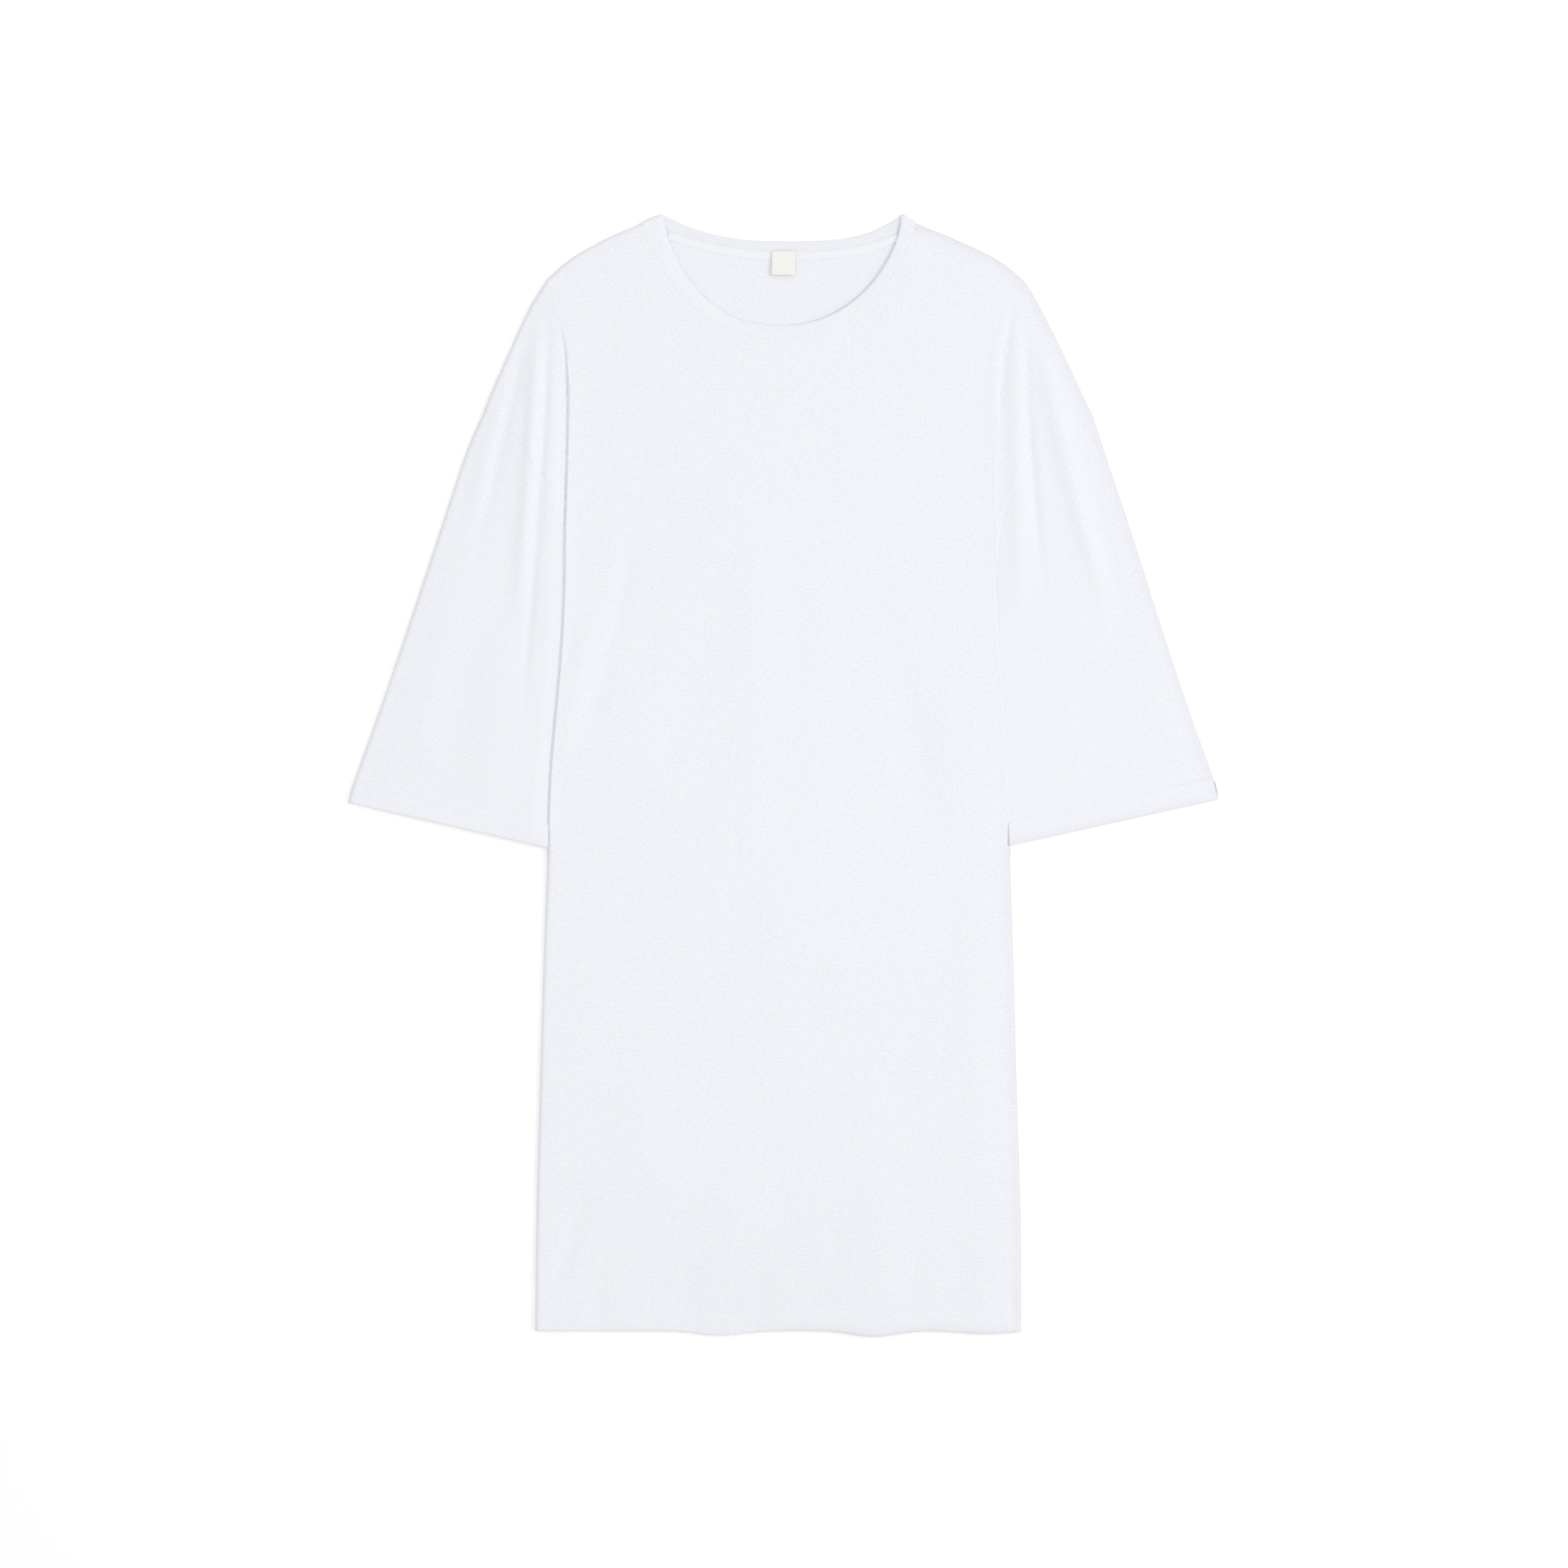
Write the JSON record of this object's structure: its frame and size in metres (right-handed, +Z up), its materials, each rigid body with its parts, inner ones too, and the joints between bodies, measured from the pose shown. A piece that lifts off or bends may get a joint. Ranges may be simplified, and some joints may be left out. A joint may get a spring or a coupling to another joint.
{
  "type": "t-shirt dress",
  "caption": "White jersey t-shirt dress laid flat, with a narrow round neckband, dropped shoulders and wide elbow sleeves folded down beside the body.",
  "frame": {"origin": "on the surface that the dress lies on, under the middle of its bounding box", "axes": "+Y from the hem to the neck, +X to the right of someone who looks down on the front, +Z up through the layers"},
  "size_m": [0.7072, 0.9117, 0.0077],
  "materials": {
    "jersey": "matt white cotton jersey, fine knit with faint slubs along the courses",
    "band": "matt white jersey, folded double",
    "tape": "white twill tape",
    "label": "off-white woven label with a plain face"
  },
  "bodies": {
    "root": {"back": "jersey", "front": "jersey", "sleeve_left": "jersey", "sleeve_right": "jersey", "neckband": "band", "neck_tape": "tape", "label": "label"}
  },
  "joints": []
}
